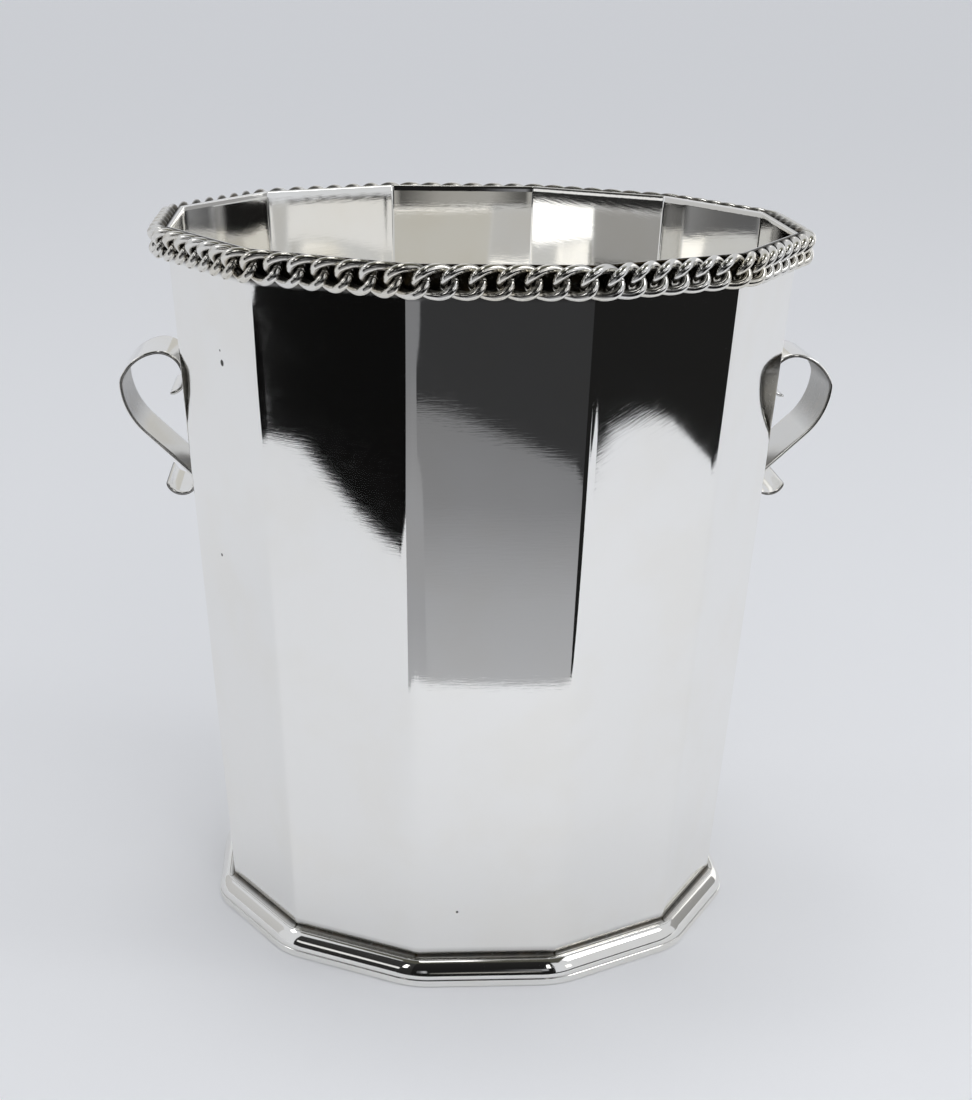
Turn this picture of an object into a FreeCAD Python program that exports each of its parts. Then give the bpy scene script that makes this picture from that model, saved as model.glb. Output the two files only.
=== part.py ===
"""Silver champagne bucket with twelve flat sides, a chain rim, two strap handles and a moulded foot.

Millimetres, +Z up. The origin is on the bucket's axis, at the level the foot stands on.
+X points at the right handle, and the flats face +X, -X, +Y, -Y and the eight directions between them.
"""
import FreeCAD, Part
import math
import os
from FreeCAD import Vector

# Body: one folded sheet with twelve flats, wider at the mouth
SIDES = 12
HEIGHT = 216.0
TOP_APOTHEM = 93.2  # axis to the middle of an outer flat, at the top edge
FLOOR_APOTHEM = 76.3  # the same flat carried down to the floor
SHEET = 1.4
FOLD_RADIUS = 1.6
RIM_ROUNDING = 0.4
WALL_LIFT = 1.0  # the sheet's lower edge stops this far above the floor, inside the foot

# Base: a flat plate soldered inside the wall
BASE_UNDERSIDE = 4.0
BASE_THICKNESS = 1.5

# Foot: twelve mitred lengths of moulding round the lower edge
FOOT_HEIGHT = 8.5
FOOT_APOTHEM = 82.0
FOOT_CORNER_RADIUS = 22.0  # the outer corners are filed round
FOOT_COVE_TOP = 0.3  # thickness of the moulding where it dies into the wall
FOOT_COVE_EDGE = Vector(78.6, 0, 7.0)  # radial distance and height of the cove's outer edge
FOOT_COVE_BELLY = Vector(77.55, 0, 7.35)
FOOT_BEAD_WIDTH = 0.5
FOOT_BAND_BELLY = Vector(81.1, 0, 5.3)
FOOT_BAND_END = 2.6  # height where the band turns vertical
FOOT_LOWER_EDGE = 0.7  # rounding under the band

# Rim chain: flattened and twisted round-wire links, seven to a side
LINKS_PER_SIDE = 7
CHAIN_LEVEL = 211.8  # height of the row of links
CHAIN_STANDOFF = 2.95  # link centres in front of the flat
LINK_HALF_LENGTH = 5.03  # to the wire's centre
LINK_HALF_HEIGHT = 3.55
LINK_TWIST = 1.5  # how far the wire swings in and out of the link's own plane
LINK_WIRE_RADIUS = 1.3
LINK_GUIDE_POINTS = 24

# Handles: one bent strap on each of the +X and -X flats
STRAP_WIDTH = 26.0
STRAP_THICKNESS = 1.0
STRAP_EDGE_ROUNDING = 0.3
STRAP_TOP_CONTACT = 169.8  # height where the strap leaves the wall above the hand loop
STRAP_CONTACT = 1.0  # length that lies flat on the wall, at either end of the loop
# Each bend is a centre-line radius and the degrees turned through
SPUR_BEND = (4.3, 92.0)
LOOP_BENDS = ((7.5, 97.0), (13.2, 53.0), (6.1, 31.0), (21.8, 41.5))
LANDING_RADIUS = 4.0
CURL_BENDS = ((3.0, 66.0), (4.7, 103.0))

STEP_ANGLE = 360.0 / SIDES
HALF_STEP = math.radians(STEP_ANGLE / 2)
WALL_SLOPE = (TOP_APOTHEM - FLOOR_APOTHEM) / HEIGHT
WALL_LEAN = math.atan(WALL_SLOPE)
AXIS = Vector(0, 0, 1)
ORIGIN = Vector(0, 0, 0)


def wall_apothem(z):
    """Distance from the axis to the outer face of a flat at height z."""
    return FLOOR_APOTHEM + WALL_SLOPE * z


def turned(shape, degrees):
    """A copy of the shape, turned about the bucket's axis."""
    copy = shape.copy()
    copy.rotate(ORIGIN, AXIS, degrees)
    return copy


def polygon(apothem, z):
    """A closed twelve-sided wire, with a flat facing +X."""
    corner = apothem / math.cos(HALF_STEP)
    points = []
    for i in range(SIDES + 1):
        angle = HALF_STEP * (2 * i - 1)
        points.append(Vector(corner * math.cos(angle), corner * math.sin(angle), z))
    return Part.makePolygon(points)


def sewn_solid(faces):
    """A solid from faces that meet edge to edge; the first face sets which way is out."""
    shell = Part.makeShell(faces)
    shell.sewShape()
    return Part.makeSolid(shell)


def tapered_block(inset, low, high):
    """The solid inside the wall's outer faces, moved inwards by inset, between two heights."""
    level_inset = inset / math.cos(WALL_LEAN)
    bottom, top = [polygon(wall_apothem(z) - level_inset, z) for z in (low, high)]
    below = [vertex.Point for vertex in bottom.OrderedVertexes]
    above = [vertex.Point for vertex in top.OrderedVertexes]
    faces = []
    for i in range(SIDES):
        after = (i + 1) % SIDES
        loop = [below[i], below[after], above[after], above[i], below[i]]
        faces.append(Part.Face(Part.makePolygon(loop)))
    return sewn_solid(faces + [Part.Face(top), Part.Face(bottom)])


def upright_edges(shape):
    """The edges that run between two heights."""
    return [edge for edge in shape.Edges if edge.BoundBox.ZLength > 1.0]


def body_wall():
    """The folded sheet, open at both ends, with eased folds and an eased top edge."""
    outside = tapered_block(0, WALL_LIFT, HEIGHT)
    outside = outside.makeFillet(FOLD_RADIUS, upright_edges(outside))
    inside = tapered_block(SHEET, WALL_LIFT - 1, HEIGHT + 1)
    wall = outside.cut(inside)
    rim = [edge for edge in wall.Edges if edge.BoundBox.ZMin > HEIGHT - 0.01]
    return wall.makeFillet(RIM_ROUNDING, rim)


def base_plate():
    """The flat floor of the ice cavity, filling the wall's inside."""
    return tapered_block(SHEET, BASE_UNDERSIDE, BASE_UNDERSIDE + BASE_THICKNESS)


def foot_profile():
    """Section of the moulding on the +X side: a cove, a fine bead and a convex band."""
    low_inner = Vector(wall_apothem(0), 0, 0)
    top_inner = Vector(wall_apothem(FOOT_HEIGHT), 0, FOOT_HEIGHT)
    top_outer = top_inner + Vector(FOOT_COVE_TOP, 0, 0)
    bead = FOOT_COVE_EDGE + Vector(FOOT_BEAD_WIDTH, 0, 0)
    band_end = Vector(FOOT_APOTHEM, 0, FOOT_BAND_END)
    edge_top = Vector(FOOT_APOTHEM, 0, FOOT_LOWER_EDGE)
    edge_low = Vector(FOOT_APOTHEM - FOOT_LOWER_EDGE, 0, 0)
    diagonal = FOOT_LOWER_EDGE * (1 - math.sqrt(0.5))
    edge_middle = Vector(FOOT_APOTHEM - diagonal, 0, diagonal)
    curves = [
        Part.LineSegment(low_inner, top_inner),
        Part.LineSegment(top_inner, top_outer),
        Part.Arc(top_outer, FOOT_COVE_BELLY, FOOT_COVE_EDGE),
        Part.LineSegment(FOOT_COVE_EDGE, bead),
        Part.Arc(bead, FOOT_BAND_BELLY, band_end),
        Part.LineSegment(band_end, edge_top),
        Part.Arc(edge_top, edge_middle, edge_low),
        Part.LineSegment(edge_low, low_inner),
    ]
    return Part.Face(Part.Wire([curve.toShape() for curve in curves]))


def foot_length():
    """One mitred length of the moulding, on the +X side."""
    reach = 2 * FOOT_APOTHEM
    strip = foot_profile().extrude(Vector(0, FOOT_APOTHEM, 0))
    strip.translate(Vector(0, -FOOT_APOTHEM / 2, 0))
    side = reach * math.tan(HALF_STEP)
    outline = Part.makePolygon([ORIGIN, Vector(reach, -side, 0), Vector(reach, side, 0), ORIGIN])
    mitre = Part.Face(outline).extrude(Vector(0, 0, FOOT_HEIGHT))
    filed = Part.Face(polygon(FOOT_APOTHEM, 0)).extrude(Vector(0, 0, FOOT_HEIGHT))
    filed = filed.makeFillet(FOOT_CORNER_RADIUS, upright_edges(filed))
    return strip.common(mitre).common(filed).Solids[0]


def link_point(angle):
    """A point on a link's wire: an oval whose ends are twisted in opposite directions."""
    return Vector(
        LINK_TWIST * math.sin(2 * angle),
        -LINK_HALF_LENGTH * math.cos(angle),
        LINK_HALF_HEIGHT * math.sin(angle),
    )


def chain_link():
    """One link about the origin, its length along Y and its outer side towards +X."""
    step = 2 * math.pi / LINK_GUIDE_POINTS
    curve = Part.BSplineCurve()
    points = [link_point(step * i) for i in range(LINK_GUIDE_POINTS)]
    curve.interpolate(Points=points, PeriodicFlag=True)
    middle = (curve.FirstParameter + curve.LastParameter) / 2
    surfaces = []
    for start, end in ((curve.FirstParameter, middle), (middle, curve.LastParameter)):
        ring = Part.Circle(curve.value(start), curve.tangent(start)[0], LINK_WIRE_RADIUS)
        sweep = Part.BRepOffsetAPI.MakePipeShell(Part.Wire(curve.toShape(start, end)))
        sweep.add(Part.Wire(ring.toShape()))
        sweep.build()
        surfaces += sweep.shape().Faces
    link = sewn_solid(surfaces)
    link.rotate(ORIGIN, Vector(0, 1, 0), math.degrees(WALL_LEAN))
    return link


def chain_length():
    """The seven links of the +X side; the last one straddles the corner after it."""
    apothem = wall_apothem(CHAIN_LEVEL) + CHAIN_STANDOFF
    on_flat = LINKS_PER_SIDE - 1
    pitch = 2 * apothem * math.sin(HALF_STEP) / (1 + on_flat * math.cos(HALF_STEP))
    corner_apothem = apothem * math.cos(HALF_STEP) + on_flat / 2 * pitch * math.sin(HALF_STEP)
    link = chain_link()
    links = []
    for i in range(on_flat):
        place = Vector(apothem, (i - (on_flat - 1) / 2) * pitch, CHAIN_LEVEL)
        links.append(link.translated(place))
    straddling = link.translated(Vector(corner_apothem, 0, CHAIN_LEVEL))
    links.append(turned(straddling, STEP_ANGLE / 2))
    return Part.makeCompound(links)


class BentPath:
    """A centre line in the XZ plane, laid down run by run from a start and a heading."""

    def __init__(self, start, heading):
        self.point = start
        self.heading = heading
        self.edges = []

    def direction(self):
        return Vector(math.cos(self.heading), 0, math.sin(self.heading))

    def run(self, length):
        """A straight stretch."""
        end = self.point + self.direction() * length
        self.edges.append(Part.LineSegment(self.point, end).toShape())
        self.point = end

    def bend(self, radius, turn):
        """An arc that turns by the angle turn, anticlockwise when it is positive."""
        side = math.copysign(math.pi / 2, turn)
        centre_angle = self.heading + side
        centre = self.point + Vector(math.cos(centre_angle), 0, math.sin(centre_angle)) * radius
        points = []
        for share in (0.5, 1.0):
            spoke = centre_angle + math.pi + turn * share
            points.append(centre + Vector(math.cos(spoke), 0, math.sin(spoke)) * radius)
        self.edges.append(Part.Arc(self.point, points[0], points[1]).toShape())
        self.point = points[1]
        self.heading += turn


def wall_offset(point):
    """How far a point in the XZ plane stands outside the +X flat, square to it."""
    return (point.x - wall_apothem(point.z)) * math.cos(WALL_LEAN)


def strap_path():
    """The strap's centre line, from the spur under its top contact to the tip of its lower curl."""
    up_wall = math.pi / 2 - WALL_LEAN
    half = STRAP_THICKNESS / 2
    contact = Vector(wall_apothem(STRAP_TOP_CONTACT) + half / math.cos(WALL_LEAN), 0, STRAP_TOP_CONTACT)
    spur = BentPath(contact, up_wall + math.pi)
    spur.run(STRAP_CONTACT)
    spur.bend(SPUR_BEND[0], math.radians(SPUR_BEND[1]))
    loop = BentPath(contact, up_wall)
    for radius, turn in LOOP_BENDS:
        loop.bend(radius, -math.radians(turn))
    landing = up_wall - math.pi - loop.heading
    drop = wall_offset(loop.point) - half - LANDING_RADIUS * (1 - math.cos(landing))
    loop.run(drop / math.sin(landing))
    loop.bend(LANDING_RADIUS, landing)
    loop.run(STRAP_CONTACT)
    for radius, turn in CURL_BENDS:
        loop.bend(radius, math.radians(turn))
    start_heading = spur.heading
    start = spur.point
    edges = list(reversed(spur.edges)) + loop.edges
    return Part.Wire(Part.__sortEdges__(edges)), start, start_heading


def strap_section(start, heading):
    """The strap's rectangle with eased edges, square to the path's first direction."""
    through = Vector(-math.sin(heading), 0, math.cos(heading))
    flat_half = STRAP_WIDTH / 2 - STRAP_EDGE_ROUNDING
    thin_half = STRAP_THICKNESS / 2 - STRAP_EDGE_ROUNDING
    corners = []
    for quarter in range(4):
        middle = math.radians(90 * quarter + 45)
        y = math.copysign(flat_half, math.cos(middle))
        t = math.copysign(thin_half, math.sin(middle))
        arc = []
        for angle in (middle - math.pi / 4, middle, middle + math.pi / 4):
            arc_y = y + STRAP_EDGE_ROUNDING * math.cos(angle)
            arc_t = t + STRAP_EDGE_ROUNDING * math.sin(angle)
            arc.append(start + Vector(0, arc_y, 0) + through * arc_t)
        corners.append(arc)
    edges = []
    for arc, following in zip(corners, corners[1:] + corners[:1]):
        edges.append(Part.Arc(*arc).toShape())
        edges.append(Part.LineSegment(arc[-1], following[0]).toShape())
    return Part.Wire(edges)


def handle():
    """The right-hand handle, on the +X flat."""
    path, start, heading = strap_path()
    sweep = Part.BRepOffsetAPI.MakePipeShell(path)
    sweep.setBiNormalMode(Vector(0, 1, 0))
    sweep.add(strap_section(start, heading))
    sweep.build()
    sweep.makeSolid()
    return sweep.shape()


def write_part(name, shape):
    shape.exportStep(f"parts/{name}.step")


os.makedirs("parts", exist_ok=True)
write_part("body_wall", body_wall())
write_part("base_plate", base_plate())

right_handle = handle()
write_part("handle_right", right_handle)
write_part("handle_left", turned(right_handle, 180))

moulding = foot_length()
links = chain_length()
for side in range(SIDES):
    write_part(f"foot_moulding_{side + 1:02d}", turned(moulding, side * STEP_ANGLE))
    write_part(f"rim_chain_{side + 1:02d}", turned(links, side * STEP_ANGLE))
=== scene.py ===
import math

import bpy
import numpy as np
from mathutils import Matrix, Vector, noise


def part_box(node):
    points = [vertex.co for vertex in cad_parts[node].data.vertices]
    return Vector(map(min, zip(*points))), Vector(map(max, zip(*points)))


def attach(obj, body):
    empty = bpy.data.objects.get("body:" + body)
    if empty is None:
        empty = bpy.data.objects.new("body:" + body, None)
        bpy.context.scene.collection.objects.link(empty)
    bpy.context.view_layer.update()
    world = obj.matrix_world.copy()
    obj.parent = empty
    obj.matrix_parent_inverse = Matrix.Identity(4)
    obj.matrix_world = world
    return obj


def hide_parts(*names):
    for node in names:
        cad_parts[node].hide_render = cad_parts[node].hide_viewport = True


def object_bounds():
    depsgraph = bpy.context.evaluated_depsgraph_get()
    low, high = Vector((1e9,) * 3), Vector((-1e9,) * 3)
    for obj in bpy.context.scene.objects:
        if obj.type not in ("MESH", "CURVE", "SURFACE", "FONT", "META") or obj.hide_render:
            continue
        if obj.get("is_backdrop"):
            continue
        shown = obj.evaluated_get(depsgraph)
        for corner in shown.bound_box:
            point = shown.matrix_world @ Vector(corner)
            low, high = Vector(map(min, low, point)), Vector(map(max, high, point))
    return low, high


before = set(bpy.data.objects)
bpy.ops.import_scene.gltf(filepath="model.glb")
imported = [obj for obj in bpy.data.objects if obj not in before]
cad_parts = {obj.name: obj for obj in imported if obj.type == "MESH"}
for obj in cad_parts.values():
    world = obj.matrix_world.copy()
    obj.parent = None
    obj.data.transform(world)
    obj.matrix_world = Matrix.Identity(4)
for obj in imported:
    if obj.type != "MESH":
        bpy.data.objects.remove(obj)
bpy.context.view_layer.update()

MM = 0.001
SIDES = 12
STEP = 2 * math.pi / SIDES
HALF_STEP = STEP / 2

# ------------------------------------------------------------------ sizes from the frame
WALL_LOW, WALL_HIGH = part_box("body_wall")
FOOT_LOW, FOOT_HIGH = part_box("foot_moulding_01")
TOP = WALL_HIGH.z
BOTTOM = WALL_LOW.z
TOP_APOTHEM = WALL_HIGH.x
FLOOR_APOTHEM = FOOT_LOW.x  # the flats carried down to the floor
FOOT_APOTHEM = FOOT_HIGH.x
FOOT_HEIGHT = FOOT_HIGH.z
SLOPE = (TOP_APOTHEM - FLOOR_APOTHEM) / TOP
LEAN = math.atan(SLOPE)
SHEET = 1.4 * MM


def apothem_at(z):
    """Axis to the outer face of a flat, at height z."""
    return FLOOR_APOTHEM + SLOPE * z


# ------------------------------------------------------------------ mesh helpers
def new_object(name, verts, faces, uvs=None, attributes=None, smooth=True):
    """A mesh object; uvs is one pair per face corner, attributes one float per vertex."""
    mesh = bpy.data.meshes.new(name)
    mesh.from_pydata([tuple(v) for v in verts], [], [tuple(f) for f in faces])
    if uvs is not None:
        layer = mesh.uv_layers.new(name="grain")
        layer.data.foreach_set("uv", np.asarray(uvs, np.float32).ravel())
    for key, values in (attributes or {}).items():
        data = mesh.attributes.new(key, "FLOAT", "POINT")
        data.data.foreach_set("value", np.asarray(values, np.float32))
    mesh.polygons.foreach_set("use_smooth", [smooth] * len(mesh.polygons))
    mesh.update()
    obj = bpy.data.objects.new(name, mesh)
    bpy.context.scene.collection.objects.link(obj)
    return obj


def ring_faces(rows, columns, close_rows, close_columns):
    """Quads of a grid of rows x columns, facing outwards when rows go up and columns anticlockwise."""
    faces = []
    for r in range(rows if close_rows else rows - 1):
        up = (r + 1) % rows
        for c in range(columns if close_columns else columns - 1):
            on = (c + 1) % columns
            faces.append((r * columns + c, r * columns + on, up * columns + on, up * columns + c))
    return faces


def smoothstep(low, high, value):
    """0 at low, 1 at high, and eased in between; low may be the larger."""
    x = min(max((value - low) / (high - low), 0.0), 1.0)
    return x * x * (3 - 2 * x)


def about_axis(angle):
    """The turn about the bucket's axis that carries the +X side to the given angle."""
    return Matrix.Rotation(angle, 3, "Z")


def finish_piece(obj, material, node):
    """Material, slot and body of a finished piece that stands for the named CAD node."""
    obj.data.materials.append(material)
    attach(obj, "root")
    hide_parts(node)


# ------------------------------------------------------------------ materials
class Nodes:
    """Short names for the few node kinds that the materials use."""

    def __init__(self, name):
        self.material = bpy.data.materials.new(name)
        self.material.use_nodes = True
        self.tree = self.material.node_tree
        self.shader = self.tree.nodes["Principled BSDF"]

    def add(self, kind, **values):
        node = self.tree.nodes.new("ShaderNode" + kind)
        for key, value in values.items():
            setattr(node, key, value)
        return node

    def put(self, node, socket, value):
        """Sets a socket to a plain value, or links it."""
        if isinstance(value, bpy.types.NodeSocket):
            self.tree.links.new(value, node.inputs[socket])
        else:
            node.inputs[socket].default_value = value

    def noise(self, vector, scale, detail=2.0, rough=0.5, distortion=0.0):
        node = self.add("TexNoise")
        self.put(node, "Vector", vector)
        self.put(node, "Scale", scale)
        self.put(node, "Detail", detail)
        self.put(node, "Roughness", rough)
        self.put(node, "Distortion", distortion)
        return node.outputs["Fac"]

    def scaled(self, vector, scale):
        node = self.add("Mapping")
        self.put(node, "Vector", vector)
        self.put(node, "Scale", scale)
        return node.outputs["Vector"]

    def ramp(self, value, low, high, to_low=0.0, to_high=1.0):
        node = self.add("MapRange", interpolation_type="SMOOTHSTEP")
        self.put(node, "Value", value)
        self.put(node, "From Min", low)
        self.put(node, "From Max", high)
        self.put(node, "To Min", to_low)
        self.put(node, "To Max", to_high)
        return node.outputs["Result"]

    def math(self, operation, a, b=0.0):
        node = self.add("Math", operation=operation)
        self.put(node, 0, a)
        self.put(node, 1, b)
        return node.outputs["Value"]

    def mix(self, factor, a, b):
        node = self.add("Mix", data_type="RGBA")
        self.put(node, "Factor", factor)
        self.put(node, 6, a)
        self.put(node, 7, b)
        return node.outputs[2]

    def bump(self, height, distance):
        node = self.add("Bump")
        self.put(node, "Strength", 1.0)
        self.put(node, "Distance", distance)
        self.put(node, "Height", height)
        return node.outputs["Normal"]


SILVER = (0.935, 0.93, 0.912, 1)
SILVER_WARM = (0.86, 0.82, 0.73, 1)
# The olive and brown stain: tarnish, and painted shade where the marks follow hollows, creases and faces
# turned to the wall
OLIVE_TARNISH_AND_SHADE = (0.016, 0.014, 0.008, 1)
BROWN_TARNISH_AND_SHADE = (0.085, 0.062, 0.034, 1)

# Larger pits on the wall: flat, distance along it, height and radius, in mm
PITS = ((7, 4.4, 180.9, 1.05), (7, 3.7, 184.4, 0.38), (7, -7.7, 120.2, 0.55), (9, -8.7, 22.7, 0.42))
PIT_CELLS = 57.0  # cells of the sparse scatter per metre
PIT_RARITY = 0.955  # share of the cells that stay clean
PIT_SMALLEST, PIT_LARGEST = 0.012, 0.034  # of a cell
PIT_DARKNESS = 0.93
PIT_ROUGHNESS = 0.4


def add_pits(n, place, colour, rough):
    """Fine pits: a sparse scatter, and the larger ones at their own places."""
    cells = n.add("TexVoronoi", feature="F1")
    n.put(cells, "Vector", place)
    n.put(cells, "Scale", PIT_CELLS)
    chosen = n.add("SeparateColor")
    n.put(chosen, "Color", cells.outputs["Color"])
    rare = n.math("GREATER_THAN", chosen.outputs["Red"], PIT_RARITY)
    size = n.ramp(chosen.outputs["Green"], 0.0, 1.0, PIT_SMALLEST, PIT_LARGEST)
    pit = n.math("MULTIPLY", rare, n.math("LESS_THAN", cells.outputs["Distance"], size))
    for flat, along, height, radius in PITS:
        centre = about_axis(flat * STEP) @ Vector((apothem_at(height * MM), along * MM, 0))
        gap = n.add("VectorMath", operation="DISTANCE")
        n.put(gap, 0, place)
        n.put(gap, 1, (centre.x, centre.y, height * MM))
        spot = n.ramp(gap.outputs["Value"], 0.7 * radius * MM, 1.1 * radius * MM, 1.0, 0.0)
        pit = n.math("MAXIMUM", pit, spot)
    colour = n.mix(n.math("MULTIPLY", pit, PIT_DARKNESS), colour, OLIVE_TARNISH_AND_SHADE)
    return colour, n.math("ADD", rough, n.math("MULTIPLY", pit, PIT_ROUGHNESS))


CLOUD_SCALE, SMUDGE_SCALE, SPECKLE_SCALE = 38.0, 140.0, 900.0  # per metre
TARNISH_AND_SHADE_ROUGHNESS = 0.35


def silver(name, roughness, streak, streak_length, streak_width, toning, pits=False):
    """Polished silver: polishing streaks along U, cloudy toning, and tarnish with painted shade where it is
    marked.

    streak is the depth of the streaks, toning the strength of the warm clouds.
    """
    n = Nodes(name)
    grain = n.add("UVMap", uv_map="grain").outputs["UV"]
    place = n.add("TexCoord").outputs["Object"]
    streaks = n.noise(n.scaled(grain, (1 / streak_length, 1 / streak_width, 1)), 1.0, 3.0, 0.6)
    hairs = n.noise(n.scaled(grain, (0.35 / streak_length, 2.7 / streak_width, 1)), 1.0, 2.0, 0.5)
    clouds = n.noise(place, CLOUD_SCALE, 3.0, 0.55)
    smudges = n.noise(place, SMUDGE_SCALE, 3.0, 0.6, 0.4)
    speckle = n.noise(place, SPECKLE_SCALE, 2.0, 0.6)
    # The marked attribute carries tarnish and painted shade; both are painted in the olive and brown stain
    # and made rougher
    marked = n.add("Attribute", attribute_name="tarnish_and_shade").outputs["Fac"]
    tarnish_and_shade = n.math("MULTIPLY", marked, n.ramp(speckle, 0.1, 0.5, 0.8, 1.0))

    colour = n.mix(n.ramp(clouds, 0.40, 0.70, 0.2 * toning, toning), SILVER, SILVER_WARM)
    tarnish_and_shade_colour = n.mix(n.ramp(smudges, 0.4, 0.75), OLIVE_TARNISH_AND_SHADE, BROWN_TARNISH_AND_SHADE)
    colour = n.mix(tarnish_and_shade, colour, tarnish_and_shade_colour)

    rough = n.math("ADD", n.ramp(streaks, 0.3, 0.75, 0.0, 0.5 * roughness), roughness)
    rough = n.math("ADD", rough, n.ramp(smudges, 0.5, 0.75, 0.0, 0.6 * roughness))
    rough = n.math("ADD", rough, n.math("MULTIPLY", tarnish_and_shade, TARNISH_AND_SHADE_ROUGHNESS))
    if pits:
        colour, rough = add_pits(n, place, colour, rough)

    height = n.math("ADD", streaks, n.math("MULTIPLY", hairs, 0.35))
    n.put(n.shader, "Base Color", colour)
    n.put(n.shader, "Roughness", rough)
    n.put(n.shader, "Normal", n.bump(height, streak))
    n.shader.inputs["Metallic"].default_value = 1.0
    return n.material


WALL_SILVER = silver("silver_wall", 0.032, 3.6e-6, 6 * MM, 0.7 * MM, 0.22, pits=True)
STRAP_SILVER = silver("silver_strap", 0.07, 1.6e-6, 12 * MM, 0.5 * MM, 0.45)
MOULDING_SILVER = silver("silver_moulding", 0.05, 1.0e-6, 9 * MM, 0.4 * MM, 0.35)
CHAIN_SILVER = silver("silver_chain", 0.08, 1.5e-6, 3 * MM, 0.5 * MM, 0.9)

# ------------------------------------------------------------------ wall
# Outside radius of each fold, in mm, starting at the corner after the +X flat and going anticlockwise
FOLD_RADII = (3.0, 4.0, 2.5, 3.5, 4.5, 2.5, 3.0, 3.5, 6.5, 3.0, 4.0, 3.0)
# Direction of the polishing marks on each flat, in degrees from level
POLISH_TILTS = (4, -8, 12, 0, -5, 15, -3, 3, 0, 1, 24, -6)
FLAT_STEPS = 20
FOLD_STEPS = 6
OUTER_ROWS, RIM_ROWS, INNER_ROWS = 84, 18, 70  # rows of the mesh: up to the chain, behind it, and inside
TIGHTEST_FOLD = 0.3 * MM
RIM_RADIUS = 0.45 * MM
RIM_STEPS = 3
CHAIN_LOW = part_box("rim_chain_01")[0].z


def outline(apothem, inset):
    """One level of the wall: point, outward direction, flat number and distance along the flat."""
    points = []
    for flat in range(SIDES):
        before = max(FOLD_RADII[flat - 1] * MM - inset, TIGHTEST_FOLD)
        after = max(FOLD_RADII[flat] * MM - inset, TIGHTEST_FOLD)
        start = -(apothem - before) * math.tan(HALF_STEP)
        end = (apothem - after) * math.tan(HALF_STEP)
        turn = about_axis(flat * STEP)
        for i in range(FLAT_STEPS + 1):
            along = start + (end - start) * i / FLAT_STEPS
            points.append((turn @ Vector((apothem, along, 0)), turn @ Vector((1, 0, 0)), flat, along))
        centre = Vector((apothem - after, end, 0))
        for i in range(1, FOLD_STEPS):
            angle = STEP * i / FOLD_STEPS
            spoke = Vector((math.cos(angle), math.sin(angle), 0))
            past = end + after * angle
            points.append((turn @ (centre + spoke * after), turn @ spoke, flat, past))
    return points


# Shallow dents: flat, distance along it, height, radius and depth, in mm
DENTS = (
    (10, -4.0, 168.0, 26.0, 0.10),
    (9, -10.0, 176.0, 18.0, 0.05),
    (8, -12.0, 178.0, 20.0, 0.06),
)


def waviness(flat, along, point, outside):
    """How far the hand-worked sheet lies outside its true flat; the unseen inside is the less even face."""
    if not outside:
        return noise.noise(point * 22 + Vector((3, 9, 4))) * 0.16 * MM
    total = noise.noise(point * 16) * 0.07 * MM + noise.noise(point * 45 + Vector((7, 3, 1))) * 0.018 * MM
    for number, across, height, radius, depth in DENTS:
        if number == flat:
            gap = math.hypot(along - across * MM, point.z - height * MM) / (radius * MM)
            total -= depth * MM * math.exp(-gap * gap)
    return total


def wall_levels():
    """Section of the sheet as (height, inset, on the outside), from the lower edge up and back down."""
    levels = [(z, 0.0, True) for z in np.linspace(BOTTOM, CHAIN_LOW - 3 * MM, OUTER_ROWS)]
    levels += [(z, 0.0, True) for z in np.linspace(CHAIN_LOW - 2.4 * MM, TOP - RIM_RADIUS, RIM_ROWS)]
    for i in range(1, RIM_STEPS + 1):
        angle = math.pi / 2 * i / RIM_STEPS
        levels.append((TOP - RIM_RADIUS * (1 - math.sin(angle)), RIM_RADIUS * (1 - math.cos(angle)), True))
    for i in range(RIM_STEPS + 1):
        angle = math.pi / 2 * i / RIM_STEPS
        inset = SHEET - RIM_RADIUS * (1 - math.sin(angle))
        levels.append((TOP - RIM_RADIUS * (1 - math.cos(angle)), inset, False))
    levels += [(z, SHEET, False) for z in np.linspace(TOP - 2 * MM, BOTTOM, INNER_ROWS)]
    return levels


HANDLE_FLATS = (0, SIDES // 2)
HANDLE_LOW, HANDLE_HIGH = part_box("handle_right")


def wall_tarnish_and_shade(flat, along, z, outside):
    """Tarnish and painted shade: darker behind the chain and the handles and along the foot."""
    if not outside:
        return 0.0
    chain = smoothstep(CHAIN_LOW - 0.9 * MM, CHAIN_LOW + 0.8 * MM, z)
    foot = 0.6 * smoothstep(FOOT_HEIGHT + 1.6 * MM, FOOT_HEIGHT, z)
    handle = 0.0
    if flat in HANDLE_FLATS:
        middle = (HANDLE_LOW.z + HANDLE_HIGH.z) / 2
        reach = math.hypot(along / HANDLE_HIGH.y, (z - middle) / (HANDLE_HIGH.z - middle))
        ragged = 0.2 * noise.noise(Vector((along, z, 0)) * 160)
        handle = 0.85 * smoothstep(1.35, 0.75, reach + ragged)
    return max(chain, foot, handle)


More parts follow.
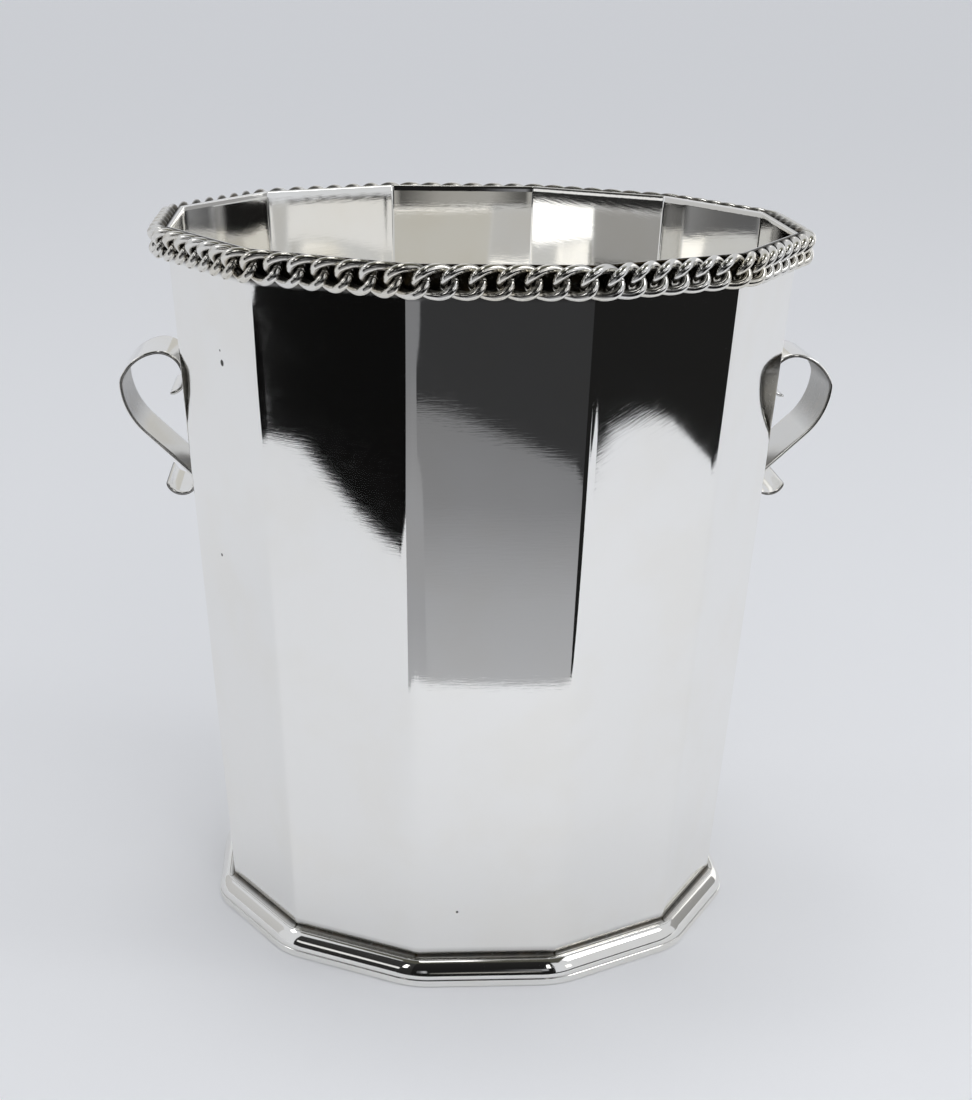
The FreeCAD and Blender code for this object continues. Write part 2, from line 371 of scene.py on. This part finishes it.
def build_wall():
    """The folded sheet, its UV grain turned to each flat's own polishing direction."""
    verts, tarnish_and_shade, marks = [], [], []
    levels = wall_levels()
    for z, inset, outside in levels:
        for point, outward, flat, along in outline(apothem_at(z) - inset, inset):
            place = Vector((point.x, point.y, z))
            verts.append(place + outward * waviness(flat, along, place, outside))
            # Tarnish and painted shade behind the chain and the handles and above the foot
            tarnish_and_shade.append(wall_tarnish_and_shade(flat, along, z, outside))
            marks.append((flat, along, z))
    columns = len(verts) // len(levels)
    faces = ring_faces(len(levels), columns, True, True)
    uvs = []
    for face in faces:
        flat = marks[face[0]][0]
        tilt = math.radians(POLISH_TILTS[flat])
        for v in face:
            other, along, z = marks[v]
            if other != flat:  # the next flat's first point closes this flat's fold
                along = marks[face[0]][1] + FOLD_RADII[flat] * MM * STEP / FOLD_STEPS
            u = along * math.cos(tilt) + z * math.sin(tilt)
            w = z * math.cos(tilt) - along * math.sin(tilt)
            uvs.append((u + 0.3 * flat, w + 0.1 * flat))
    wall = new_object("wall_sheet", verts, faces, uvs, {"tarnish_and_shade": tarnish_and_shade})
    finish_piece(wall, WALL_SILVER, "body_wall")


build_wall()

# ------------------------------------------------------------------ base plate
base_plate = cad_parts["base_plate"]
base_plate.data.materials.clear()
base_plate.data.materials.append(WALL_SILVER)

# ------------------------------------------------------------------ foot
FOOT_CORNER_RADIUS = 22 * MM  # the filed corners of the band
COVE_CORNER_RADIUS = 5 * MM  # and of the cove, where it meets the wall
FOOT_FLAT_SPANS = 16
FOOT_CORNER_SPANS = 8
SMOOTH_LIMIT = math.cos(math.radians(40))  # sharper turns of the section stay as edges
MITRE_LOW, MITRE_HIGH = 79.3, 78.5  # mm from the axis: the mitres darken from the first to the second


def arc_points(centre, radius, start, end, spans):
    """Points of an arc in the (radial, height) plane; angles are in degrees."""
    points = []
    for i in range(spans + 1):
        angle = math.radians(start + (end - start) * i / spans)
        points.append((centre[0] + radius * math.cos(angle), centre[1] + radius * math.sin(angle)))
    return points


def curve_points(start, pull, end, spans):
    """Points after the start of a curve that leaves it towards pull and arrives from there."""
    points = []
    for i in range(1, spans + 1):
        s = i / spans
        shares = zip(start, pull, end)
        points.append(tuple(a * (1 - s) ** 2 + b * 2 * s * (1 - s) + c * s * s for a, b, c in shares))
    return points


def foot_section():
    """Section of the moulding in mm, from the floor round the outside to the wall, with its tarnish and
    painted shade.
    """
    outer = FOOT_APOTHEM / MM
    ribbon = arc_points((outer - 0.7, 0.7), 0.7, -90, 0, 5) + arc_points((outer - 0.2, 2.1), 0.2, 0, 75, 3)
    band = arc_points((outer - 7.014, 1.82), 6.84, 5, 54, 20)
    bead = arc_points((outer - 3.15, 7.42), 0.3, -10, 170, 8)
    wall = apothem_at(FOOT_HEIGHT) / MM
    cove = curve_points(bead[-1], (wall + 0.6, 7.5), (wall + 0.3, FOOT_HEIGHT / MM), 7)
    section = [(FLOOR_APOTHEM / MM, 0.0, 0.0)]
    section += [(radial, z, 0.0) for radial, z in ribbon]
    # Painted shade with tarnish: thin dark lines where the ribbon meets the band and where the band meets
    # the bead, and darkening up the cove to the wall
    section += [(radial, z, 0.5 if i == 0 else 0.0) for i, (radial, z) in enumerate(band)]
    section += [(radial, z, 0.7 if i == 0 else 0.0) for i, (radial, z) in enumerate(bead)]
    section += [(radial, z, min(0.92, 0.3 + 0.13 * i)) for i, (radial, z) in enumerate(cove)]
    section.append((wall, FOOT_HEIGHT / MM, 0.92))
    return section


def section_normals(section):
    """Normals at the two ends of each segment of the closed section, shared where it runs smoothly."""
    count = len(section)
    plain = []
    for (radial, z, _), (next_radial, next_z, _) in zip(section, section[1:] + section[:1]):
        plain.append(Vector((next_z - z, radial - next_radial)).normalized())
    shared = []
    for i in range(count):
        before, after = plain[i - 1], plain[i]
        smooth = before.dot(after) > SMOOTH_LIMIT
        both = (before + after).normalized()
        shared.append((both, both) if smooth else (before, after))
    return [(shared[i][1], shared[(i + 1) % count][0]) for i in range(count)]


def foot_columns():
    """How each column of a length lies: share of the flat, and angle round the filed corner."""
    corner = [HALF_STEP * (1 - i / FOOT_CORNER_SPANS) for i in range(FOOT_CORNER_SPANS)]
    columns = [(-1.0, -angle) for angle in corner]
    columns += [(2 * i / FOOT_FLAT_SPANS - 1, 0.0) for i in range(FOOT_FLAT_SPANS + 1)]
    return columns + [(1.0, angle) for angle in reversed(corner)]


def build_foot(number):
    """One length of the moulding, with a filed corner at both ends."""
    section = foot_section()
    normals = section_normals(section)
    columns = foot_columns()
    turn = about_axis(number * STEP)
    verts, tarnish_and_shade, grain = [], [], []
    for radial, z, dark in section:
        radial *= MM
        outward_share = (radial - FLOOR_APOTHEM) / (FOOT_APOTHEM - FLOOR_APOTHEM)
        corner_radius = COVE_CORNER_RADIUS + (FOOT_CORNER_RADIUS - COVE_CORNER_RADIUS) * outward_share
        flat_apothem = radial - corner_radius
        for share, angle in columns:
            spoke = Vector((math.cos(angle), math.sin(angle), 0)) * corner_radius
            along = flat_apothem * math.tan(HALF_STEP) * share
            verts.append(turn @ (Vector((flat_apothem, along, z * MM)) + spoke))
            joint = 0.5 * smoothstep(0.80, 1.0, abs(angle) / HALF_STEP)
            joint *= smoothstep(MITRE_LOW, MITRE_HIGH, radial / MM)
            tarnish_and_shade.append(min(1.0, dark + joint))
            grain.append((along + corner_radius * angle, z * MM + 0.5 * radial + 0.05 * number))
    rows, width = len(section), len(columns)
    faces = ring_faces(rows, width, True, False)
    corner_normals = []
    for face in faces:
        start, end = normals[face[0] // width]
        for slant, vertex in zip((start, start, end, end), face):
            angle = columns[vertex % width][1]
            spoke = Vector((math.cos(angle), math.sin(angle), 0)) * slant.x
            corner_normals.append(turn @ (spoke + Vector((0, 0, slant.y))))
    for column, order, way in ((0, range(rows), -1), (width - 1, reversed(range(rows)), 1)):
        faces.append([r * width + column for r in order])
        mitre = turn @ about_axis(way * HALF_STEP) @ Vector((0, way, 0))
        corner_normals += [mitre] * rows
    uvs = [grain[v] for face in faces for v in face]
    name = f"foot_length_{number + 1:02d}"
    foot = new_object(name, verts, faces, uvs, {"tarnish_and_shade": tarnish_and_shade})
    foot.data.normals_split_custom_set(corner_normals)
    finish_piece(foot, MOULDING_SILVER, f"foot_moulding_{number + 1:02d}")


for side in range(SIDES):
    build_foot(side)

# ------------------------------------------------------------------ chain
LINKS_PER_SIDE = 7
CHAIN_LEVEL = 211.8 * MM
CHAIN_STANDOFF = 2.95 * MM
LINK_HALF_LENGTH = 5.03 * MM
LINK_HALF_HEIGHT = 3.55 * MM
LINK_TWIST = 1.5 * MM
WIRE_RADIUS = 1.3 * MM
WIRE_STEPS = 20
SEAM_HALF_WIDTH = 0.014  # of the link's turn, in radians
SEAM_DEPTH = 0.10
LINK_STEPS = 76
LINK_LEAN_JITTER, LINK_ROLL_JITTER = 0.012, 0.02  # radians
POLISHED_WIRE_TARNISH = 0.13


def link_line(angle):
    """Centre of the wire: X outwards, Y along the chain, Z up the wall."""
    return Vector((
        LINK_TWIST * math.sin(2 * angle),
        -LINK_HALF_LENGTH * math.cos(angle),
        LINK_HALF_HEIGHT * math.sin(angle),
    ))


def link_stations():
    """Angles round a link and the wire's size there; the butted ends meet in a fine groove."""
    seam = [(math.pi - 2 * SEAM_HALF_WIDTH, 1.0), (math.pi - 0.5 * SEAM_HALF_WIDTH, 1 - 0.7 * SEAM_DEPTH)]
    seam += [(math.pi, 1 - SEAM_DEPTH)]
    seam += [(math.pi + 0.5 * SEAM_HALF_WIDTH, 1 - 0.7 * SEAM_DEPTH), (math.pi + 2 * SEAM_HALF_WIDTH, 1.0)]
    clear = 4 * SEAM_HALF_WIDTH
    plain = [2 * math.pi * i / LINK_STEPS for i in range(LINK_STEPS)]
    plain = [(a, 1.0) for a in plain if abs(a - math.pi) > clear]
    return sorted(plain + seam)


def link_mesh():
    """Local points, tarnish with painted shade, and grain of one link, wire ring by wire ring."""
    points, tarnish_and_shade, grain = [], [], []
    for angle, size in link_stations():
        centre = link_line(angle)
        forward = (link_line(angle + 0.001) - link_line(angle - 0.001)).normalized()
        outer = Vector((0, centre.y, centre.z * 1.3)).normalized()
        outer = (outer - forward * outer.dot(forward)).normalized()
        side_way = forward.cross(outer)
        for i in range(WIRE_STEPS):
            turn = 2 * math.pi * i / WIRE_STEPS
            spoke = outer * math.cos(turn) + side_way * math.sin(turn)
            point = centre + spoke * WIRE_RADIUS * size
            points.append(point)
            # Painted shade with tarnish: the half of the link towards the wall and the inner side of its
            # hole are darkened; the seam's groove and the light overall tarnish are the wire's own
            back = smoothstep(0.2 * MM, -1.6 * MM, point.x)
            hole = smoothstep(0.30, 0.90, -math.cos(turn)) * smoothstep(2.2 * MM, 0.8 * MM, point.x)
            groove = 0.8 if size < 0.99 else 0.0
            tarnish_and_shade.append(max(0.9 * back, 0.8 * hole, groove, POLISHED_WIRE_TARNISH))
            grain.append((angle * LINK_HALF_LENGTH, turn * WIRE_RADIUS))
    return points, tarnish_and_shade, grain


LINK_POINTS, LINK_TARNISH_AND_SHADE, LINK_GRAIN = link_mesh()
LINK_RINGS = len(LINK_POINTS) // WIRE_STEPS


def link_places():
    """Centre and turn of each of a side's links; the last straddles the corner after it."""
    apothem = apothem_at(CHAIN_LEVEL) + CHAIN_STANDOFF
    on_flat = LINKS_PER_SIDE - 1
    pitch = 2 * apothem * math.sin(HALF_STEP) / (1 + on_flat * math.cos(HALF_STEP))
    corner = apothem * math.cos(HALF_STEP) + on_flat / 2 * pitch * math.sin(HALF_STEP)
    places = []
    for i in range(on_flat):
        places.append((Vector((apothem, (i - (on_flat - 1) / 2) * pitch, CHAIN_LEVEL)), 0.0))
    centre = about_axis(HALF_STEP) @ Vector((corner, 0, CHAIN_LEVEL))
    places.append((centre, HALF_STEP))
    return places


def build_chain(number):
    """One side's links, each set a hair out of line as a hand-made chain is."""
    verts, faces, tarnish_and_shade, uvs = [], [], [], []
    side_turn = about_axis(number * STEP)
    rings = ring_faces(LINK_RINGS, WIRE_STEPS, True, True)
    for index, (centre, link_turn) in enumerate(link_places()):
        seed = Vector((number * 3.7, index * 5.1, 0.5))
        jitter = noise.noise_vector(seed)
        lean = Matrix.Rotation(LEAN + LINK_LEAN_JITTER * jitter.x, 3, "Y")
        roll = Matrix.Rotation(LINK_ROLL_JITTER * jitter.y, 3, "X")
        turn = side_turn @ about_axis(link_turn) @ lean @ roll
        start = len(verts)
        verts += [side_turn @ centre + turn @ point for point in LINK_POINTS]
        faces += [[v + start for v in face] for face in rings]
        tarnish_and_shade += LINK_TARNISH_AND_SHADE
        shift = 0.01 * (number * LINKS_PER_SIDE + index)
        uvs += [(LINK_GRAIN[v][0], LINK_GRAIN[v][1] + shift) for face in rings for v in face]
    chain = new_object(f"chain_side_{number + 1:02d}", verts, faces, uvs, {"tarnish_and_shade": tarnish_and_shade})
    finish_piece(chain, CHAIN_SILVER, f"rim_chain_{number + 1:02d}")


for side in range(SIDES):
    build_chain(side)

# ------------------------------------------------------------------ handles
STRAP_WIDTH = 26 * MM
STRAP_THICKNESS = 1.0 * MM
STRAP_EASE = 0.46 * MM
STRAP_TOP_CONTACT = 169.8 * MM
STRAP_CONTACT = 1.0 * MM
# Bends of the strap's centre line: radius in mm, and turn in degrees
SPUR_BEND = (4.3, 92.0)
LOOP_BENDS = ((7.5, 97.0), (13.2, 53.0), (6.1, 31.0), (21.8, 41.5))
LANDING_RADIUS = 4.0
CURL_BENDS = ((3.0, 66.0), (4.7, 103.0))
PATH_STEP = 0.6 * MM
STRAP_SPANS = 18  # across each face
STRAP_END_THINNING = (0.55, 0.88, 1.0)  # of the thickness, row by row from either tip
STRAP_WOBBLE = 0.06 * MM


class Path:
    """A line in the XZ plane, laid down run by run, as points with their headings."""

    def __init__(self, start, heading):
        self.points = [(start, heading)]

    def run(self, length):
        start, heading = self.points[-1]
        way = Vector((math.cos(heading), 0, math.sin(heading)))
        count = max(1, round(length / PATH_STEP))
        for i in range(1, count + 1):
            self.points.append((start + way * length * i / count, heading))

    def bend(self, radius, turn):
        start, heading = self.points[-1]
        spoke = heading + math.copysign(math.pi / 2, turn)
        centre = start + Vector((math.cos(spoke), 0, math.sin(spoke))) * radius
        count = max(3, round(abs(turn) * radius / PATH_STEP))
        for i in range(1, count + 1):
            angle = spoke + math.pi + turn * i / count
            point = centre + Vector((math.cos(angle), 0, math.sin(angle))) * radius
            self.points.append((point, heading + turn * i / count))


def strap_line():
    """Points and headings along the strap, from the spur's tip to the lower curl's tip."""
    up_wall = math.pi / 2 - LEAN
    half = STRAP_THICKNESS / 2
    contact = Vector((apothem_at(STRAP_TOP_CONTACT) + half / math.cos(LEAN), 0, STRAP_TOP_CONTACT))
    spur = Path(contact, up_wall + math.pi)
    spur.run(STRAP_CONTACT)
    spur.bend(SPUR_BEND[0] * MM, math.radians(SPUR_BEND[1]))
    loop = Path(contact, up_wall)
    for radius, turn in LOOP_BENDS:
        loop.bend(radius * MM, -math.radians(turn))
    end, heading = loop.points[-1]
    landing = up_wall - math.pi - heading
    offset = (end.x - apothem_at(end.z)) * math.cos(LEAN)
    drop = offset - half - LANDING_RADIUS * MM * (1 - math.cos(landing))
    loop.run(drop / math.sin(landing))
    loop.bend(LANDING_RADIUS * MM, landing)
    loop.run(STRAP_CONTACT)
    for radius, turn in CURL_BENDS:
        loop.bend(radius * MM, math.radians(turn))
    backwards = [(point, heading + math.pi) for point, heading in reversed(spur.points[1:])]
    return backwards + loop.points


def strap_section():
    """The strap's outline across its width, anticlockwise seen along it."""
    outline_points = []
    flat_half = STRAP_WIDTH / 2 - STRAP_EASE
    thin_half = STRAP_THICKNESS / 2 - STRAP_EASE
    for quarter in range(4):
        middle = math.pi / 2 * quarter + math.pi / 4
        y = math.copysign(flat_half, math.cos(middle))
        t = math.copysign(thin_half, math.sin(middle))
        for i in range(5):
            angle = middle - math.pi / 4 + math.pi / 2 * i / 4
            outline_points.append((y + STRAP_EASE * math.cos(angle), t + STRAP_EASE * math.sin(angle)))
        if quarter in (0, 2):
            start = outline_points[-1]
            for i in range(1, STRAP_SPANS):
                along = math.copysign(2 * flat_half * i / STRAP_SPANS, start[0])
                outline_points.append((start[0] - along, start[1]))
    return outline_points


def strap_painted_shade(heading, t):
    """Painted shade on the loop's inner face, darkest towards the top."""
    inner = smoothstep(0.1 * STRAP_THICKNESS, -0.3 * STRAP_THICKNESS, t)
    loop = smoothstep(-2.6, -2.0, heading) * smoothstep(2.4, 2.0, heading)
    return inner * loop * (0.58 + 0.42 * smoothstep(-1.7, -0.5, heading))


def build_handle(name, node, turn):
    """A strap bent along its line, with slightly uneven faces and eased ends."""
    section = strap_section()
    line = strap_line()
    verts, grain, tarnish_and_shade = [], [], []
    length = 0.0
    last = line[0][0]
    for row, (point, heading) in enumerate(line):
        length += (point - last).length
        last = point
        across = Vector((-math.sin(heading), 0, math.cos(heading)))
        ends = min(row, len(line) - 1 - row)
        shrink = STRAP_END_THINNING[min(ends, 2)]
        for y, t in section:
            wobble = STRAP_WOBBLE * noise.noise(Vector((y * 60, length * 60, 2.0 + turn)))
            place = point + Vector((0, y, 0)) + across * (t * shrink + wobble * min(1.0, ends / 4))
            verts.append(about_axis(turn) @ place)
            grain.append((length, y + 3 * t))
            # Painted shade on the inner face of the loop
            tarnish_and_shade.append(strap_painted_shade(heading, t))
    rows, columns = len(line), len(section)
    faces = ring_faces(rows, columns, False, True)
    faces.append(list(reversed(range(columns))))
    faces.append([(rows - 1) * columns + c for c in range(columns)])
    faces = [list(reversed(face)) for face in faces]
    uvs = [grain[v] for face in faces for v in face]
    handle = new_object(name, verts, faces, uvs, {"tarnish_and_shade": tarnish_and_shade})
    finish_piece(handle, STRAP_SILVER, node)


build_handle("right_strap", "handle_right", 0.0)
build_handle("left_strap", "handle_left", math.pi)

# ------------------------------------------------------------------ stage
FLOOR_RADIUS = 40.0
FLOOR_CORNERS = 96
FLOOR_GAP = 0.4 * MM  # of a card that lies on the floor
FLOOR_COLOUR = (0.90, 0.905, 0.92, 1)


def build_floor():
    """A plain pale disc."""
    verts = [(0, 0, 0)]
    for i in range(FLOOR_CORNERS):
        angle = 2 * math.pi * i / FLOOR_CORNERS
        verts.append((FLOOR_RADIUS * math.cos(angle), FLOOR_RADIUS * math.sin(angle), 0))
    faces = [(0, i + 1, (i + 1) % FLOOR_CORNERS + 1) for i in range(FLOOR_CORNERS)]
    floor = new_object("floor", verts, faces, smooth=False)
    n = Nodes("floor_paper")
    n.shader.inputs["Base Color"].default_value = FLOOR_COLOUR
    n.shader.inputs["Roughness"].default_value = 0.7
    n.shader.inputs["Specular IOR Level"].default_value = 0.2
    floor.data.materials.append(n.material)
    floor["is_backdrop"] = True


def reflected_card(name, tint, rows):
    """A studio card that only reflections show.

    Each row has a brightness and points; a card of one row is its outline.
    """
    verts, glow = [], []
    for brightness, points in rows:
        verts += [(*point, FLOOR_GAP) if len(point) == 2 else point for point in points]
        glow += [brightness] * len(points)
    if len(rows) == 1:
        faces = [range(len(verts))]
    else:
        faces = ring_faces(len(rows), len(rows[0][1]), False, False)
    card = new_object(name, verts, faces, attributes={"glow": glow}, smooth=False)
    material = bpy.data.materials.new(name)
    material.use_nodes = True
    tree = material.node_tree
    tree.nodes.clear()
    strength = tree.nodes.new("ShaderNodeAttribute")
    strength.attribute_name = "glow"
    emission = tree.nodes.new("ShaderNodeEmission")
    emission.inputs["Color"].default_value = (*tint, 1)
    tree.links.new(strength.outputs["Fac"], emission.inputs["Strength"])
    out = tree.nodes.new("ShaderNodeOutputMaterial")
    tree.links.new(emission.outputs[0], out.inputs["Surface"])
    card.data.materials.append(material)
    card.visible_camera = False
    card.visible_diffuse = False
    card.visible_shadow = False
    card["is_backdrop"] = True


def standing_card(name, tint, start, end, low, high, low_glow, high_glow):
    """An upright reflected card over the line from start to end."""
    rows = []
    for z, glow in ((low, low_glow), (high, high_glow)):
        rows.append((glow, [(*start, z), (*end, z)]))
    reflected_card(name, tint, rows)


NEUTRAL = (1.0, 1.0, 1.0)
WARM = (1.0, 0.985, 0.93)
COOL = (0.985, 1.0, 1.05)
OLIVE = (1.0, 1.0, 0.82)

build_floor()
# The fold between the left front and the front spreads its view over this grey fan
FAN_CENTRE = (-0.024, -0.090)
FAN_RADII = ((0.168, 0.40), (0.22, 0.34), (0.34, 0.30), (0.50, 0.20), (1.20, 0.17))  # with brightness
FAN_BEARINGS = (-78, -95, -110, -128, -147)
fan_rows = []
for radius, glow in FAN_RADII:
    arc = []
    for bearing in FAN_BEARINGS:
        turn = math.radians(bearing)
        x = FAN_CENTRE[0] + radius * math.cos(turn)
        arc.append((x, FAN_CENTRE[1] + radius * math.sin(turn), 0.75 * FLOOR_GAP))
    fan_rows.append((glow, arc))
reflected_card("fold_fan", COOL, fan_rows)
# Black and grey cards on the floor, in front of the bucket and at its sides
reflected_card("dark_left", NEUTRAL, [(0.004, [
    (-0.277, -0.233), (-0.298, -0.235), (-0.329, -0.241), (-0.375, -0.251), (-0.431, -0.266),
    (-0.455, -0.260), (-0.503, -0.283), (-0.574, -0.314), (-2.4, -1.15), (-2.4, -2.4),
    (-0.80, -2.4), (-0.80, -0.90),
])])
reflected_card("dark_right", NEUTRAL, [(0.012, [
    (0.064, -0.254), (0.13, -0.235), (0.384, -0.222), (0.417, -0.233), (0.468, -0.243),
    (0.50, -0.238), (0.504, -0.229), (0.483, -0.209), (0.453, -0.182), (0.55, -0.15),
    (2.4, -0.15), (2.4, -2.4), (0.45, -2.4),
])])
reflected_card("grey_near", COOL, [
    (0.43, [(-0.010, -0.254), (0.02, -0.253), (0.04, -0.253), (0.062, -0.255)]),
    (0.37, [(-0.010, -0.320), (0.02, -0.320), (0.05, -0.320), (0.075, -0.315)]),
    (0.23, [(-0.010, -0.420), (0.02, -0.420), (0.05, -0.410), (0.095, -0.400)]),
    (0.20, [(-0.010, -0.548), (0.018, -0.528), (0.046, -0.492), (0.102, -0.412)]),
])
reflected_card("grey_far", COOL, [
    (0.035, [(-0.010, -0.548), (0.018, -0.528), (0.046, -0.492), (0.102, -0.412)]),
    (0.020, [(-0.010, -2.400), (0.150, -2.400), (0.300, -2.400), (0.460, -2.400)]),
])
# Black screens in front and to the left
standing_card("room_front", NEUTRAL, (-0.55, -1.0), (0.55, -1.0), 0.0, 1.9, 0.008, 0.02)
standing_card("room_left", NEUTRAL, (-1.3, -0.45), (-0.55, -1.0), 0.0, 1.7, 0.02, 0.04)
# Pale cards before the front screen: place along it, and brightness there
FRONT_CARD_Y = -0.98
PALE_FRONT = ((-0.03, 0.05), (0.02, 0.10), (0.05, 0.34), (0.09, 0.36), (0.11, 0.10), (0.15, 0.05))
PALE_CHAIR = (
    (-0.36, 0.10), (-0.31, 0.10), (-0.27, 0.13), (-0.24, 0.20), (-0.21, 0.30),
    (-0.17, 0.38), (-0.13, 0.42), (-0.10, 0.36), (-0.075, 0.26), (-0.06, 0.04),
)
PALE_DOOR = ((0.085, 0.03), (0.11, 0.18), (0.15, 0.30), (0.32, 0.30))
for name, tint, low, high, columns in (
    ("pale_front", WARM, 0.20, 0.285, PALE_FRONT),
    ("pale_door", COOL, 0.29, 0.47, PALE_DOOR),
    ("pale_chair", COOL, 0.26, 0.47, PALE_CHAIR),
):
    rows = [(glow, [(x, FRONT_CARD_Y, low), (x, FRONT_CARD_Y, high)]) for x, glow in columns]
    reflected_card(name, tint, rows)
standing_card("pale_left", NEUTRAL, (-1.00, -0.43), (-0.82, -0.68), 0.32, 0.48, 0.80, 0.80)
standing_card("window_left", NEUTRAL, (-0.80, -0.72), (-0.66, -0.80), 0.60, 1.05, 2.4, 2.4)
standing_card("window_front", NEUTRAL, (0.26, -0.94), (0.38, -0.92), 0.50, 0.95, 1.8, 1.8)
standing_card("table_edge_right", NEUTRAL, (0.55, -1.0), (1.5, 0.0), 0.0, 0.07, 0.02, 0.02)
# What the inside sees over its rim
standing_card("screen_right", NEUTRAL, (0.80, -0.72), (0.95, -0.58), 0.26, 0.50, 1.5, 1.5)
standing_card("screen_back", WARM, (-0.03, 1.3), (0.27, 1.3), 0.28, 0.58, 0.58, 0.54)
standing_card("screen_back_top", NEUTRAL, (-0.03, 1.3), (0.27, 1.3), 0.58, 0.90, 1.2, 1.2)
standing_card("screen_back_left", NEUTRAL, (-1.3, 0.40), (-0.75, 1.0), 0.0, 0.60, 0.50, 0.55)
standing_card("screen_back_right", NEUTRAL, (0.62, 1.05), (1.02, 0.63), 0.0, 0.60, 1.3, 1.3)
standing_card("grey_back_right", NEUTRAL, (1.02, 0.63), (1.3, 0.25), 0.0, 0.60, 0.30, 0.35)
# A dull ceiling with one bright opening
CEILING_HEIGHT, OPENING_HEIGHT = 2.3, 2.2
reflected_card("ceiling", OLIVE, [
    (0.36, [(-1.6, 1.2, CEILING_HEIGHT), (1.6, 1.2, CEILING_HEIGHT)]),
    (0.11, [(-1.6, 0.3, CEILING_HEIGHT), (1.6, 0.3, CEILING_HEIGHT)]),
    (0.06, [(-1.6, -1.6, CEILING_HEIGHT), (1.6, -1.6, CEILING_HEIGHT)]),
])
reflected_card("ceiling_opening", NEUTRAL, [
    (2.2, [(-0.35, -0.55, OPENING_HEIGHT), (0.15, -0.55, OPENING_HEIGHT)]),
    (2.2, [(-0.35, -0.80, OPENING_HEIGHT), (0.15, -0.80, OPENING_HEIGHT)]),
])

# ------------------------------------------------------------------ light
LIGHT_TARGET = Vector((0, 0, 0.1))


def softbox(name, place, size, power, colour=(1, 1, 1)):
    """An area light aimed at the bucket; size is its width and height, power in watts."""
    data = bpy.data.lights.new(name, "AREA")
    data.shape = "RECTANGLE"
    data.size, data.size_y = size
    data.energy = power
    data.color = colour
    light = bpy.data.objects.new(name, data)
    light.location = place
    light.rotation_euler = (LIGHT_TARGET - Vector(place)).to_track_quat("-Z", "Y").to_euler()
    light.visible_camera = False
    bpy.context.scene.collection.objects.link(light)
    return light


softbox("softbox_left", (-1.5, 0.2, 1.4), (0.35, 0.35), 1.0, (1.0, 0.99, 0.97))
softbox("softbox_right", (1.3, -0.4, 1.3), (0.45, 0.45), 2.2, (0.98, 0.99, 1.0))
softbox("softbox_top", (-0.15, 0.25, 2.1), (0.4, 0.4), 2.0)
softbox("front_glow", (0.10, -0.48, 0.45), (0.3, 0.3), 0.55).visible_glossy = False

world = bpy.data.worlds.new("studio")
world.use_nodes = True
background = world.node_tree.nodes["Background"]
background.inputs["Color"].default_value = (0.77, 0.785, 0.815, 1)
background.inputs["Strength"].default_value = 0.86
bpy.context.scene.world = world
bpy.context.scene.view_settings.view_transform = "Standard"

# ------------------------------------------------------------------ camera
CAMERA_PLACE = Vector((-0.0420, -0.6000, 0.2913))
CAMERA_YAW, CAMERA_PITCH, CAMERA_ROLL = 4.351, 16.710, 1.144
CAMERA_LENS = 64.17


def build_camera():
    """The camera looks along +Y, turned right by its yaw and down by its pitch, and rolled a little."""
    yaw, pitch, roll = (math.radians(a) for a in (CAMERA_YAW, CAMERA_PITCH, CAMERA_ROLL))
    ahead = Vector((math.sin(yaw) * math.cos(pitch), math.cos(yaw) * math.cos(pitch), -math.sin(pitch)))
    level = Vector((math.cos(yaw), -math.sin(yaw), 0))
    above = level.cross(ahead)
    right = level * math.cos(roll) + above * math.sin(roll)
    up = above * math.cos(roll) - level * math.sin(roll)
    data = bpy.data.cameras.new("camera")
    data.lens = CAMERA_LENS
    data.sensor_width = 36.0
    data.clip_start, data.clip_end = 0.01, 100.0
    camera = bpy.data.objects.new("camera", data)
    camera.matrix_world = Matrix((right, up, -ahead)).transposed().to_4x4()
    camera.location = CAMERA_PLACE
    bpy.context.scene.collection.objects.link(camera)
    bpy.context.scene.camera = camera


build_camera()

low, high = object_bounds()
